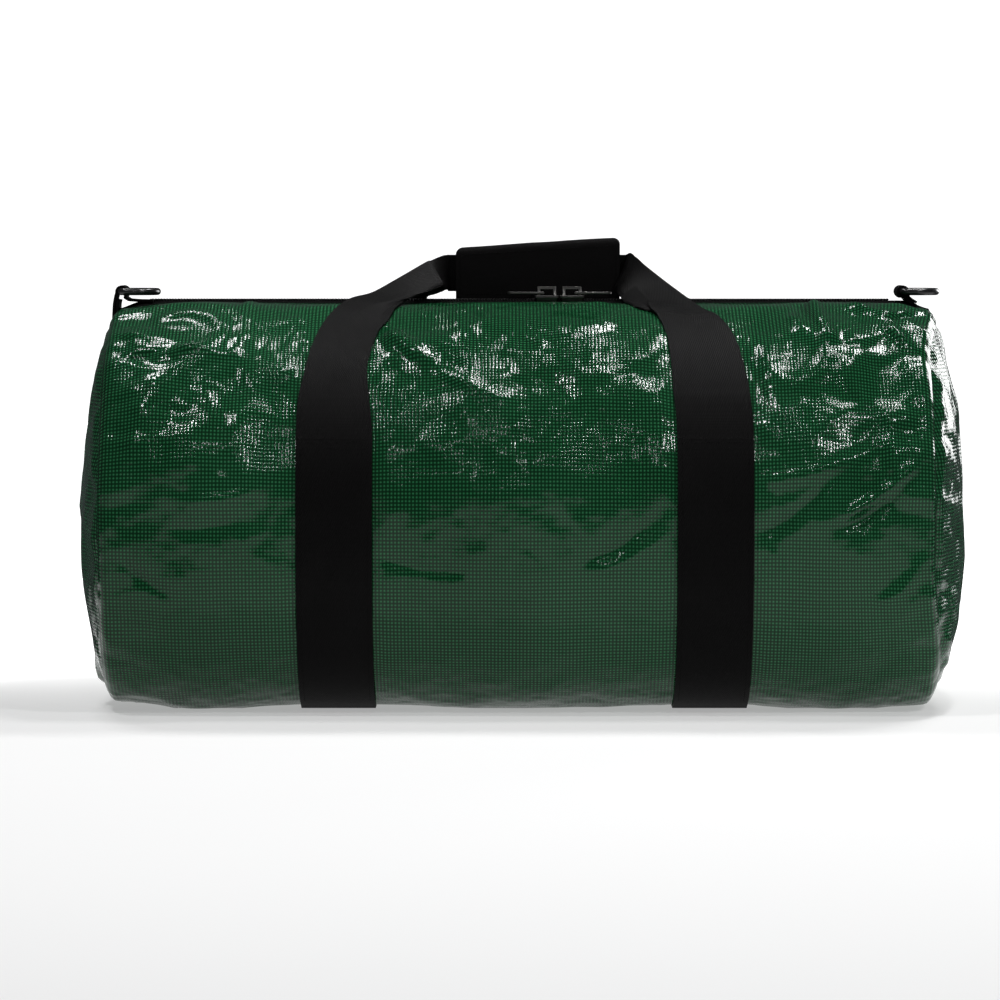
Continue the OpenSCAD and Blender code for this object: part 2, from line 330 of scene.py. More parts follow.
def sheet(name, across, along, place):
    """A grid of across by along faces laid out by place(u, v), u and v from 0 to 1, which gives
    points and a cloth UV in metres."""
    bpy.ops.object.select_all(action="DESELECT")
    bpy.ops.mesh.primitive_grid_add(x_subdivisions=across, y_subdivisions=along, size=2.0)
    obj = bpy.context.active_object
    obj.name = obj.data.name = name
    co = coords(obj)
    u, v = (co[:, 0] + 1) / 2, (co[:, 1] + 1) / 2
    points, uv = place(u, v)
    set_coords(obj, points)
    corner = np.empty(len(obj.data.loops), np.int32)
    obj.data.loops.foreach_get("vertex_index", corner)
    layer = obj.data.uv_layers.active or obj.data.uv_layers.new(name="UVMap")
    layer.name = "UVMap"
    layer.data.foreach_set("uv", np.asarray(uv, np.float32)[corner].ravel())
    return obj


def turn_out(obj, outward, first=None):
    """Flips the faces if most of them, or of the first ones, look against outward, which is a
    direction or gives one for each face's centre."""
    n = len(obj.data.polygons)
    normal, centre = np.empty(n * 3, np.float32), np.empty(n * 3, np.float32)
    obj.data.polygons.foreach_get("normal", normal)
    obj.data.polygons.foreach_get("center", centre)
    normal, centre = normal.reshape(-1, 3)[:first], centre.reshape(-1, 3)[:first]
    away = outward(centre) if callable(outward) else outward
    if (normal * away).sum() < 0:
        only(obj)
        bpy.ops.object.mode_set(mode="EDIT")
        bpy.ops.mesh.select_all(action="SELECT")
        bpy.ops.mesh.flip_normals()
        bpy.ops.object.mode_set(mode="OBJECT")
    return obj


def step(x, low, high):
    """0 below low, 1 above high, and smooth between."""
    t = np.clip((x - low) / (high - low), 0, 1)
    return t * t * (3 - 2 * t)


def many(name, unit, places):
    """One mesh holding a copy of unit's mesh at each (point, along, up)."""
    base = coords(unit)
    faces = [tuple(p.vertices) for p in unit.data.polygons]
    verts, polys = [], []
    for point, along, up in places:
        along = np.asarray(along) / np.linalg.norm(along)
        side = np.cross(up, along)
        side /= np.linalg.norm(side)
        rise = np.cross(along, side)
        start = len(verts) * len(base)
        verts.append(base @ np.array([along, side, rise]) + point)
        polys += [tuple(i + start for i in f) for f in faces]
    mesh = bpy.data.meshes.new(name)
    mesh.from_pydata(np.concatenate(verts).tolist(), [], polys)
    obj = bpy.data.objects.new(name, mesh)
    bpy.context.collection.objects.link(obj)
    mesh.uv_layers.new(name="UVMap")
    bpy.data.objects.remove(unit)
    return smooth(obj, 60)


def stitch_unit(length=2.6 * MM, thick=0.55 * MM):
    """One stitch along X, its ends drawn in."""
    bpy.ops.object.select_all(action="DESELECT")
    bpy.ops.mesh.primitive_cylinder_add(vertices=6, radius=thick / 2, depth=length)
    obj = bpy.context.active_object
    co = coords(obj)
    sink = 1 - 0.45 * (np.abs(co[:, 2]) > length * 0.4)
    set_coords(obj, np.stack([co[:, 2], co[:, 1] * sink, co[:, 0] * sink], 1))
    only(obj)
    bpy.ops.object.mode_set(mode="EDIT")
    bpy.ops.mesh.select_all(action="SELECT")
    bpy.ops.mesh.normals_make_consistent(inside=False)
    bpy.ops.object.mode_set(mode="OBJECT")
    return obj


# ---------------------------------------------------------------- the bag's surface

# Half the length from seam to seam
HALF_L = 285.0 * MM
# The section is half an ellipse above MID_Z, and a squarer curve below it that rests on the floor
HALF_D, MID_Z, CROWN, DROP = 0.156, 0.138, 0.142, 0.142
SQUARE = 2.9
FLOOR_Z = 2.05 * MM
# Half the gap between the cloth's edges over the zip
SLOT_HALF = 12.5 * MM
STRAP_X, STRAP_HALF = 127.0 * MM, STRAP_WIDTH / 2
# Degrees from the crest to where the straps' sewn part starts
SEWN_FROM = 69.0


def signed_power(v, e):
    """The size of v to the power e, with v's sign."""
    return np.sign(v) * np.abs(v) ** e


def profile(t):
    """y and z of the bag's section at t degrees from the crest: 0 top, 90 rear, 270 front."""
    a = np.radians(t)
    s, c = np.sin(a), np.cos(a)
    upper = c >= 0
    y = np.where(upper, HALF_D * s, HALF_D * signed_power(s, 2 / SQUARE))
    z = np.where(upper, MID_Z + CROWN * c, MID_Z + DROP * signed_power(c, 2 / SQUARE))
    return y, np.maximum(z, FLOOR_Z)


# Table of the section by length, from the crest down the front, under and up the rear
_t = np.linspace(360.0, 0.0, 7201)
_y, _z = profile(_t)
_s = np.concatenate([[0], np.cumsum(np.hypot(np.diff(_y), np.diff(_z)))])
GIRTH = _s[-1]
_ty, _tz = np.gradient(_y, _s), np.gradient(_z, _s)
_blur = np.ones(161) / 161
_ny = np.convolve(np.pad(_tz, 80, mode="wrap"), _blur, "valid")
_nz = np.convolve(np.pad(-_ty, 80, mode="wrap"), _blur, "valid")
_len = np.hypot(_ny, _nz)
_ny, _nz = _ny / _len, _nz / _len


def s_of(t):
    return np.interp(-np.asarray(t, float), -_t, _s)


def section(s):
    """y, z and the outward normal's y, z at length s along the section."""
    return [np.interp(s, _s, a) for a in (_y, _z, _ny, _nz)]


S_EDGE = float(np.interp(SLOT_HALF, -_y[:1800], _s[:1800]))


def bulge(x, s):
    """The cloth's slow swell between the straps, its pull-in at the end seams and its dip to the
    zip."""
    ax = np.abs(x)
    top = 0.5 + 0.5 * np.cos(2 * math.pi * s / GIRTH)
    from_zip = np.minimum(s, GIRTH - s)
    middle = 2.6 * np.cos(np.clip(x / 0.102, -1, 1) * math.pi / 2) ** 2
    side = 3.0 * np.sin(np.clip((ax - 0.152) / 0.125, 0, 1) * math.pi) ** 2
    pull = -1.5 * step(ax, 0.205, 0.285) ** 1.5 - 2.6 * top**6 * step(ax, 0.246, 0.288)
    roll = -7.0 * np.clip((ax - 0.2775) / 0.0075, 0, 1) ** 2.5
    lip = -3.1 * (1 - step(from_zip, S_EDGE, 0.050))
    quiet = step(from_zip, 0.010, 0.055)
    return (middle + side) * MM * (0.25 + 0.75 * quiet) + (pull + roll + lip) * MM


def near_strap(x, s):
    """1 away from the straps, 0 under them. The straps lean inward near the crest."""
    down = np.minimum(s, GIRTH - s) / MM
    inner = np.interp(down, [10, 30, 50, 75, 95, 130], [62, 72, 84, 96, 101, 102]) * MM
    outer = np.interp(down, [10, 30, 50, 75, 95, 130], [92, 108, 126, 143, 149, 152]) * MM
    ax = np.abs(x)
    return step(np.maximum(inner - ax, ax - outer), 0.0, 0.012)


# Creases pressed into the cloth: x and s of both ends, half width and height, all in mm.
# s runs from the crest down the front.
CREASES = [
    (-184, 22, -190, 92, 3.0, 1.6),
    (-190, 92, -197, 128, 4.0, 1.4),
    (-282, 118, -238, 112, 3.2, -2.4),
    (-238, 112, -196, 118, 3.5, 2.2),
    (-282, 84, -252, 98, 3.0, 2.0),
    (-97, 84, -58, 128, 6.0, 3.0),
    (-58, 128, -12, 158, 5.0, 2.0),
    (-44, 52, -40, 112, 5.0, 1.8),
    (2, 96, 18, 112, 3.0, 1.6),
    (189, 38, 203, 104, 5.0, -2.4),
    (199, 38, 214, 110, 5.5, 3.4),
    (222, 44, 262, 72, 6.0, 3.0),
    (276, 58, 250, 80, 3.2, -3.2),
    (250, 80, 274, 110, 4.0, 3.4),
    (150, 212, 252, 184, 5.0, 1.8),
    (146, 252, 206, 212, 4.0, -2.2),
    (214, 236, 276, 196, 3.5, 2.8),
    (206, 246, 262, 216, 4.0, -1.8),
    (36, 268, 96, 228, 4.5, -2.0),
    (44, 274, 104, 238, 5.0, 1.6),
    (-100, 262, -36, 272, 4.0, -1.4),
    (-226, 226, -180, 218, 4.0, 1.8),
    (-238, 244, -186, 236, 5.0, -1.6),
    (-284, 182, -246, 186, 5.0, 2.6),
    (-270, 262, -232, 290, 4.0, -1.8),
    (240, 296, 282, 262, 5.0, 2.4),
]
# Rounded rings pushed out of the cloth: centre x, s, radii, half width, height, in mm
RINGS = [
    (-236, 92, 30, 26, 6.0, 3.4),
    (-160, 104, 22, 30, 7.0, 2.2),
    (30, 60, 26, 34, 8.0, 2.0),
    (184, 112, 22, 30, 7.0, 2.0),
]


def crease(x, s, x0, s0, x1, s1, width, height):
    dx, ds = x1 - x0, s1 - s0
    length = math.hypot(dx, ds)
    t = ((x - x0) * dx + (s - s0) * ds) / length
    away = ((x - x0) * ds - (s - s0) * dx) / length
    bend = away + 0.06 * length * np.sin(t / length * math.pi)
    ends = step(t, -6, 14) * step(length - t, -6, 18)
    return height * np.exp(-((bend / width) ** 2)) * ends


def ring_fold(x, s, xc, sc, rx, rs, width, height):
    r = np.hypot((x - xc) / rx, (s - sc) / rs)
    open_side = 0.35 + 0.65 * step((x - xc) / rx, -0.7, 0.2)
    scale = (rx + rs) / 2
    rim = np.exp(-(((r - 1) * scale / width) ** 2)) * open_side
    hollow = 0.5 * np.exp(-(r * 1.5) ** 2)
    return height * (rim - hollow)


def puckers(x, s):
    """Short tucks that run in from the end seams, in mm."""
    out = np.zeros_like(x)
    rng = np.random.default_rng(11)
    for end in (-1, 1):
        at = 26.0
        while at < GIRTH / MM - 20:
            reach, width = rng.uniform(18, 62), rng.uniform(3.0, 6.5)
            height, lean = rng.uniform(1.2, 3.8) * rng.choice([-1, 1, 1]), rng.uniform(-0.6, 0.6)
            inward = HALF_L / MM - end * x
            away = (s - at) - lean * inward
            fade = np.exp(-((inward / reach) ** 2)) * (0.45 + 0.55 * step(inward, 0, 9))
            out += height * fade * np.exp(-((away / (width + 0.12 * inward)) ** 2))
            at += rng.uniform(13, 34)
    return out


def crumple(points, size, seed):
    """Flat facets with sharp folds between them, from -1 to 1."""
    shift = Vector((seed * 3.7, seed * 1.3, seed * 5.1))
    out = np.empty(len(points))
    for i, p in enumerate(points):
        d = noise.voronoi(Vector(p) / size + shift)[0]
        out[i] = d[1] - d[0]
    return out


def swirl(points, size, seed):
    """Slow uneven swelling, about -1 to 1."""
    shift = Vector((seed * 2.1, seed * 4.3, seed * 0.7))
    return np.array([noise.fractal(Vector(p) / size + shift, 1.0, 2.1, 3) for p in points])


def wrinkles(x, s):
    """Height of the cloth's folds above its slow shape, in metres."""
    xm, sm = x / MM, s / MM
    out = np.zeros_like(xm)
    for c in CREASES:
        out += 1.4 * crease(xm, sm, *c)
    for r in RINGS:
        out += ring_fold(xm, sm, *r)
    rear = GIRTH / MM - sm
    for k, c in enumerate(CREASES):
        # the rear has the same creases, turned about and each moved a little
        out += crease(-xm + 9 * math.sin(k * 2.3), rear + 6 * math.cos(k * 1.7), *c)
    out += puckers(xm, sm)
    near_zip = np.minimum(s, GIRTH - s)
    behind_zip = np.where(s > GIRTH / 2, 0.3 + 0.7 * step(near_zip, 0.06, 0.12), 1)
    out *= 0.1 + 0.9 * step(near_zip, 0.016, 0.055) * behind_zip
    y, z, ny, nz = section(s)
    points = np.stack([x, y, z], 1)
    warp = swirl(points, 0.055, 3)
    bent = points + np.stack([warp, 0.6 * warp, -0.8 * warp], 1) * 0.012
    big = 0.45 - crumple(bent * (1.0, 1.0, 0.8), 0.085, 1)
    small = 0.45 - crumple(bent + 0.3, 0.034, 2)
    under = 1 - 0.75 * step(s / GIRTH, 0.21, 0.32) * (1 - step(s / GIRTH, 0.66, 0.76))
    ends = 0.75 + 0.5 * step(np.abs(x), 0.15, 0.25)
    calm = 0.06 + 0.94 * step(near_zip, 0.022, 0.100)
    out += (9.0 * big + 1.9 * small + 3.0 * warp) * under * ends * calm
    seam = 1 - 0.55 * step(np.abs(x), 0.262, 0.284)
    return out * MM * near_strap(x, s) * seam


def seam_shift(x, s):
    """The right end seam sits further in at mid height."""
    down = np.minimum(s, GIRTH - s)
    depth = step(down, 0.03, 0.12) * (1 - 0.6 * step(down, 0.26, 0.36))
    return -0.011 * step(x, 0.16, 0.285) * depth


def skin(x, s, lift=0.0, folds=True):
    """The cloth's outer face at x and length s along the section."""
    y, z, ny, nz = section(s)
    d = bulge(x, s) + lift
    if folds:
        d = d + wrinkles(x, s)
    pz = z + nz * d
    return np.stack([x + seam_shift(x, s), y + ny * d, np.maximum(pz, 0.35 * MM)], 1)


# ---------------------------------------------------------------- body and ends


def bag_outward(centre):
    away = np.array(centre, float) - (0, 0, MID_Z)
    away[:, 0] = 0
    return away


def make_body():
    span = GIRTH - 2 * S_EDGE

    def place(u, v):
        # fewer columns under the straps, and finer rows on the front than under and behind
        columns = np.array([-285, -151, -103, 103, 151, 285]) * MM
        x = np.interp(u, [0, 0.282, 0.308, 0.692, 0.718, 1.0], columns)
        s = S_EDGE + span * np.interp(v, [0, 0.60, 0.70, 1.0], [0, 0.36, 0.58, 1.0])
        return skin(x, s), np.stack([x, s], 1)

    body = sheet("bag_body", 196, 246, place)
    turn_out(body, bag_outward)
    apply_modifier(body, "SOLIDIFY", thickness=1.1 * MM, offset=-1.0)
    smooth(body, 55)
    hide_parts("body_wrap")
    return dress(body, GREEN_MESH, "bag")


# Depth of the end panels' domes, in mm
DOME = 19.0


def make_end(name, side, node):
    """Domed end: a disc of cloth whose rim is sewn to the body's end."""
    rng = np.random.default_rng(5 if side > 0 else 6)
    folds = [
        (rng.uniform(0, 360), rng.uniform(0.02, 0.06), rng.uniform(1.0, 2.4) * rng.choice([-1, 1]))
        for _ in range(26)
    ]

    def place(u, v):
        a, b = 2 * u - 1, 2 * v - 1
        r = np.maximum(np.abs(a), np.abs(b))
        # the square becomes a disc without a pole
        wide = np.abs(a) >= np.abs(b)
        q = np.where(wide, b / np.where(a == 0, 1, a), a / np.where(b == 0, 1, b))
        quarter = np.where(wide, np.where(a >= 0, 0, 180), np.where(b >= 0, 90, 270))
        angle = quarter + np.where(wide, 1, -1) * q * 45.0
        t = (90.0 - angle) % 360.0
        rim = skin(np.full_like(r, side * HALF_L), s_of(t), lift=-0.6 * MM)
        y = rim[:, 1] * r
        z = (MID_Z - 0.01) + (rim[:, 2] - (MID_Z - 0.01)) * r
        dome = DOME * (1 - r**2.3) - 1.0 * step(r, 0.93, 1.0)
        sag = 1.5 * np.sin((z / 0.29) * math.pi)
        tucks = np.zeros_like(r)
        for place_t, width, height in folds:
            off = (t - place_t + 180) % 360 - 180
            across = np.exp(-((off / (4.0 + 6.0 * (1 - r))) ** 2))
            inward = np.exp(-(((1 - r) / (0.10 + width * 3)) ** 2))
            tucks += height * across * inward
        points = np.stack([np.zeros_like(y), y, z], 1)
        warp = swirl(points + side, 0.06, 9)
        facets = 0.45 - crumple(points + 0.5 * side + 0.01 * warp[:, None], 0.055, 4)
        quiet = 1 - step(r, 0.93, 1.0)
        seam = side * rim[:, 0]
        # where the seam sits further in, the dome is as much deeper
        reach = (DOME + 0.5) * MM
        full = (HALF_L + reach - seam) / reach
        wrinkled = (sag + tucks + 4.0 * facets + 2.2 * warp) * quiet
        x = seam - 0.5 * MM + (dome * full + wrinkled) * MM
        return np.stack([side * x, y, z], 1), np.stack([y, z], 1)

    end = sheet(name, 120, 120, place)
    turn_out(end, (side, 0, 0))
    apply_modifier(end, "SOLIDIFY", thickness=1.1 * MM, offset=-1.0)
    smooth(end, 55)
    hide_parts(node)
    return dress(end, GREEN_MESH, "bag")


make_body()
make_end("end_left", -1, "left_end_panel")
make_end("end_right", 1, "right_end_panel")

# ---------------------------------------------------------------- straps

STRAP_THICK = 1.7 * MM
S_SEWN = s_of(360 - SEWN_FROM)


def make_band(name, side, node):
    """Webbing sewn to the bag, from the front, under it and up the rear."""
    top = float(S_SEWN)
    length = GIRTH - 2 * top

    def place(u, v):
        x = side * STRAP_X + (2 * u - 1) * STRAP_HALF
        s = top + length * v
        points = skin(x, s, lift=0.3 * MM, folds=False)
        low = step(points[:, 2], 4 * MM, 1 * MM)
        points[:, 2] = np.maximum(points[:, 2], 0.0) * (1 - low) + low * 1.75 * MM
        return points, np.stack([x, s], 1)

    band = sheet(name, 10, 230, place)
    turn_out(band, bag_outward)
    apply_modifier(band, "SOLIDIFY", thickness=STRAP_THICK, offset=1.0)
    co = coords(band)
    co[:, 2] = np.maximum(co[:, 2], 0.0)
    set_coords(band, co)
    smooth(band, 50)
    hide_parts(node)
    return dress(band, BLACK_WEBBING, "bag")


make_band("band_left", -1, "left_body_strap")
make_band("band_right", 1, "right_body_strap")


def spline(knots, t):
    """Smooth curve through knots at t from 0 to len(knots) - 1."""
    knots = np.asarray(knots, float)
    n = len(knots) - 1
    k = np.clip(np.floor(t).astype(int), 0, n - 1)
    u = (t - k)[:, None]
    a, b = knots[np.maximum(k - 1, 0)], knots[k]
    c, d = knots[k + 1], knots[np.minimum(k + 2, n)]
    m0, m1 = (c - a) / 2, (d - b) / 2
    return (
        (2 * u**3 - 3 * u**2 + 1) * b + (u**3 - 2 * u**2 + u) * m0
        + (-2 * u**3 + 3 * u**2) * c + (u**3 - u**2) * m1
    )


def unit(v):
    """Each row of v made one long."""
    return v / np.linalg.norm(v, axis=1)[:, None]


# The gripped stretch of each handle, in mm
GRIP_L, GRIP_R = -53.2, 73.2
GRIP_FRONT_Y, GRIP_REAR_Y = 16.8, 23.4
GRIP_BOTTOM = 285.0
RUN_ACROSS = 28


def make_run(name, side, stations, node, outward):
    """Free webbing between its two edges and its middle line. Each station gives the outer edge,
    the middle, the inner edge, which folds under, and how far along the strap it is in mm."""
    outer, middle, inner, far = (np.array([s[i] for s in stations], float) for i in range(4))
    n = len(stations) - 1

    def place(u, v):
        t = np.interp(v, np.linspace(0, 1, n + 1), np.arange(n + 1))
        o, m, i = (spline(r, t) * MM for r in (outer, middle, inner))
        w = 2 * u - 1
        a = np.abs(w)[:, None]
        flat = np.where((w > 0)[:, None], m + (o - m) * a, m + (i - m) * a)
        # the fold at the middle is rounded
        bend = 0.09
        q = np.clip((w + bend) / (2 * bend), 0, 1)[:, None]
        start, end = m + (i - m) * bend, m + (o - m) * bend
        arc = (1 - q) ** 2 * start + 2 * q * (1 - q) * m + q**2 * end
        points = clear_of_bag(np.where((np.abs(w) < bend)[:, None], arc, flat), 1.15 * MM)
        distance = np.interp(t, np.arange(n + 1), far) * MM
        return points, np.stack([side * (STRAP_X + w * STRAP_HALF), float(S_SEWN) - distance], 1)

    run = sheet(name, RUN_ACROSS, 110, place)
    # the first rows lie on the bag and look away from it
    turn_out(run, outward, first=RUN_ACROSS * 20)
    apply_modifier(run, "SOLIDIFY", thickness=STRAP_THICK, offset=0.0)
    smooth(run, 50)
    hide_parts(node)
    return run


def clear_of_bag(points, gap):
    """Moves points that are inside the cloth, or nearer than gap, out of it."""
    up = points[:, 2] - MID_Z
    angle = np.degrees(np.arctan2(np.abs(points[:, 1]) / HALF_D, up / CROWN))
    s = s_of(360 - np.clip(angle, 0, 90))
    d = bulge(points[:, 0], s) + gap
    k = np.hypot(points[:, 1] / (HALF_D + d), up / (CROWN + d))
    push = np.where((k < 1) & (up > 0), 1 / np.maximum(k, 0.5), 1.0)
    points = points.copy()
    points[:, 1] *= push
    points[:, 2] = MID_Z + up * push
    return points


def on_bag(side, facing, outer, middle, inner, t, lift=1.15):
    """A station lying on the bag at t degrees from the crest, edges and middle given by their x."""
    x, s = np.array([STRAP_X]), np.array([float(s_of(360 - t))])
    p = skin(x, s, lift=lift * MM, folds=False)[0] / MM
    y, z = facing * abs(p[1]), p[2]
    return [(side * x, y, z) for x in (outer, middle, inner)]


FRONT_LEFT = [
    (*on_bag(-1, -1, 152.45, 127.0, 101.55, 69.7, 1.25), 0),
    (*on_bag(-1, -1, 152.3, 127.0, 102.6, 63), 15),
    (*on_bag(-1, -1, 151.0, 126.2, 104.5, 56), 32),
    ((-147.5, -117, 232.3), (-125.5, -117, 234.3), (-105.8, -116, 234.3), 52),
    ((-144, -100, 247.1), (-123.5, -101, 247.8), (-103.6, -102, 245.3), 70),
    ((-134.5, -70, 266.9), (-116, -75, 266.8), (-98.5, -84, 259.3), 104),
    ((-121, -50, 278.9), (-105, -56, 274.9), (-92, -68, 265.3), 128),
    ((-105, -32, 283.5), (-91, -45, 278.1), (-88, -50, 271.3), 148),
    ((-88, -16, 292.9), (-76, -31, 281.3), (-77, -23, 284.3), 172),
    ((-69, 1.6, 304.1), (-59.4, -13, 287.1), (-66, 3, 295.3), 196),
    ((-65.8, 4.6, 305.2), (-56.0, -9.6, 288.1), (-62.5, 7, 300.3), 201),
    ((-65.4, 5.0, 305.3), (-55.8, -9.2, 288.1), (-62.3, 7.6, 300.7), 201.6),
    ((-60.2, 11.4, 307.9), (-54.2, 4, 285.7), (-58.8, 13.6, 305.9), 210),
    ((-55.6, 15.0, 309.5), (-53.2, 13.2, 285.0), (-55.2, 17.4, 309.1), 217),
    ((-52.6, 16.2, 309.9), (-52.4, 16.9, 284.9), (-52.6, 18.6, 309.9), 221),
]

FRONT_RIGHT = [
    (*on_bag(1, -1, 152.45, 127.0, 101.55, 69.7, 1.25), 0),
    (*on_bag(1, -1, 152.0, 126.6, 101.0, 62), 17),
    (*on_bag(1, -1, 150.6, 125.0, 99.6, 55), 34),
    ((147.4, -112, 236.3), (123.4, -114, 234.7), (98.9, -115, 233.3), 54),
    ((142.4, -90, 253.7), (119.4, -91, 253.3), (96.8, -89, 253.1), 84),
    ((133.6, -68, 267.3), (112.4, -69, 266.9), (91.4, -66, 268.3), 114),
    ((123, -53, 272.8), (97, -58, 270.8), (86.5, -56, 273.5), 134),
    ((113, -36, 279.9), (76.5, -50, 269.7), (86, -42, 278.3), 156),
    ((96.5, -12, 292.7), (69.5, -25, 276.9), (80, -18, 285.3), 184),
    ((82, 1, 304.9), (65.0, -2, 283.7), (76, 6, 297.3), 205),
    ((76.4, 6, 310.3), (63.6, 3.4, 285.5), (74.6, 11.5, 305.3), 214),
    ((75.0, 10.8, 310.9), (65.4, 8.2, 285.1), (73.6, 15, 308.3), 220),
    ((73.6, 14.6, 310.3), (69.6, 14, 284.9), (72.8, 17.6, 309.7), 226),
    ((72.4, 16.2, 309.9), (72.2, 16.9, 284.9), (72.4, 18.6, 309.9), 231),
]


def rear_run(side):
    """The rear straps follow the front ones, but end at the grip nearer the rear."""
    gx = GRIP_L if side < 0 else GRIP_R
    k = 1.25 if side < 0 else 1.0
    # X counts from the grip's end, outward
    free = [
        ((56 * k, 71, 271.8), (38 * k, 74, 269.1), (22 * k, 78, 265.7), 108),
        ((41 * k, 57, 280.3), (26 * k, 61, 275.5), (15 * k, 66, 271.3), 128),
        ((27 * k, 44, 290.8), (15 * k, 50, 280.1), (13 * k, 49, 277.8), 150),
        ((14, 34, 301.3), (6.5, 41, 282.9), (11, 31, 291.3), 172),
        ((6, 28.2, 308.3), (2.2, 32, 284.7), (5, 25.6, 305.3), 187),
        ((0, 26.2, 309.9), (0, 25.4, 284.9), (0, 23.8, 309.9), 197),
    ]
    return [
        (*on_bag(side, 1, 152.45, 127.0, 101.55, 69.7, 1.25), 0),
        (*on_bag(side, 1, 151.8, 126.4, 101.4, 61), 18),
        (*on_bag(side, 1, 149.6, 124.6, 100.6, 53), 37),
        (*on_bag(side, 1, 145.4, 121.4, 98.6, 45, 1.8), 57),
        (*on_bag(side, 1, 139.0, 116.4, 95.4, 37, 2.8), 79),
    ] + [(*((gx + side * x, y, z) for x, y, z in edges), far) for *edges, far in free]


RUNS = [
    ("run_front_left", -1, -1, FRONT_LEFT),
    ("run_front_right", 1, -1, FRONT_RIGHT),
    ("run_rear_left", -1, 1, rear_run(-1)),
    ("run_rear_right", 1, 1, rear_run(1)),
]
for name, side, facing, stations in RUNS:
    face_name, side_name = name.split("_")[1:]
    run = make_run(name, side, stations, f"{face_name}_{side_name}_run", (0, facing, 0.5))
    dress(run, BLACK_WEBBING)
    gx = (GRIP_L if side < 0 else GRIP_R) * MM
    side * 0.127
    0.145 * facing
    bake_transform(run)


def make_grip(name, y, node):
    """The folded webbing inside the wrap: fold at the bottom, both edges on top."""
    gap = 0.95 * MM

    def place(u, v):
        x = (GRIP_L + (GRIP_R - GRIP_L) * v) * MM
        w = (2 * u - 1) * STRAP_HALF
        turn = math.pi * gap / 2
        flat = np.abs(w) > turn
        z = np.where(flat, np.abs(w) - turn, -gap * np.cos(w / gap))
        yy = np.where(flat, np.sign(-w) * gap, -gap * np.sin(w / gap))
        return np.stack([x, y * MM + gap + yy, GRIP_BOTTOM * MM + gap + z], 1), np.stack([w, x], 1)

    grip = sheet(name, 40, 60, place)
    apply_modifier(grip, "SOLIDIFY", thickness=1.5 * MM, offset=0.0)
    smooth(grip, 50)
    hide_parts(node)
    return dress(grip, BLACK_WEBBING, "handle")


make_grip("grip_front", GRIP_FRONT_Y, "front_grip")
make_grip("grip_rear", GRIP_REAR_Y, "rear_grip")

# ---------------------------------------------------------------- padded wrap

WRAP_X0, WRAP_X1 = -47.5 * MM, 67.5 * MM
WRAP_TILT = math.tan(math.radians(3.6))


def tilt(points):
    """The wrap leans up to the right."""
    points = np.array(points)
    rise = np.clip((points[:, 2] - 0.281) / 0.030, 0, 1)
    points[:, 2] += (points[:, 0] - 0.010) * WRAP_TILT * rise
    return points


def path_points(corners, radius, steps=8):
    """A [y, z] path in mm with rounded corners, and its length at each point."""
    out = [np.array(corners[0], float)]
    for a, b, c in zip(corners, corners[1:], corners[2:]):
        a, b, c = (np.array(p, float) for p in (a, b, c))
        ab, bc = (a - b) / np.linalg.norm(a - b), (c - b) / np.linalg.norm(c - b)
        p, q = b + ab * radius, b + bc * radius
        for i in range(steps + 1):
            f = i / steps
            out.append((1 - f) ** 2 * p + 2 * f * (1 - f) * b + f**2 * q)
    out.append(np.array(corners[-1], float))
    out = np.array(out)
    length = np.concatenate([[0], np.cumsum(np.linalg.norm(np.diff(out, axis=0), axis=1))])
    return out, length


def make_pad(name, corners, radius, thick, node, body, material, round_start=True, across=96):
    """A padded strip that follows a path in the YZ plane, its middle fuller than its edges."""
    path, length = path_points(corners, radius)
    total = length[-1]
    corner_r = 7.0

    def place(u, v):
        d = v * total
        y, z = np.interp(d, length, path[:, 0]), np.interp(d, length, path[:, 1])
        cut = np.zeros_like(d)
        if round_start:
            short = np.clip(corner_r - d, 0, corner_r)
            cut = corner_r - np.sqrt(np.maximum(corner_r**2 - short**2, 0))
            high = np.clip(z - (path[:, 1].max() - 4.5), 0, 4.5)
            cut = cut + 4.5 - np.sqrt(4.5**2 - high**2)
        x0, x1 = WRAP_X0 / MM + cut, WRAP_X1 / MM - cut
        x = x0 + (x1 - x0) * u
        return np.stack([x, y, z], 1) * MM, np.stack([x, d], 1) * MM

    pad = sheet(name, across, 60, place)
    middle = np.array([0.01, 0.0205, 0.297])
    turn_out(pad, lambda c: np.array(c) * (0, 1, 1) - middle * (0, 1, 1))
    apply_modifier(pad, "SOLIDIFY", thickness=thick * MM, offset=-1.0)
    apply_modifier(
        pad, "BEVEL", width=1.1 * MM, segments=3, limit_method="ANGLE", angle_limit=math.radians(50)
    )
    co = coords(pad)
    puff = swirl(co, 0.030, 7)
    inner = middle * (0, 1, 1)
    away = unit(co * (0, 1, 1) - inner)
    ux = (co[:, 0] - WRAP_X0) / (WRAP_X1 - WRAP_X0)
    full = np.clip(np.sin(np.clip(ux, 0, 1) * math.pi), 0, 1) ** 0.4
    co += away * ((0.5 * full + 0.35 * puff * full) * MM)[:, None]
    set_coords(pad, tilt(co))
    smooth(pad, 60)
    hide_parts(node)
    dress(pad, material, body)
    return pad


flap = make_pad(
    "wrap_front_flap", [(8.6, 278.6), (8.6, 318.2), (29.0, 318.2)], 6.0, 3.0,
    "wrap_flap", "flap", WRAP_CLOTH,
)
back = make_pad(
    "wrap_rear_pad", [(14.1, 299.4), (14.1, 278.6), (29.2, 278.6), (29.2, 314.6)], 3.0, 2.6,
    "wrap_back", "handle", WRAP_CLOTH, round_start=False,
)


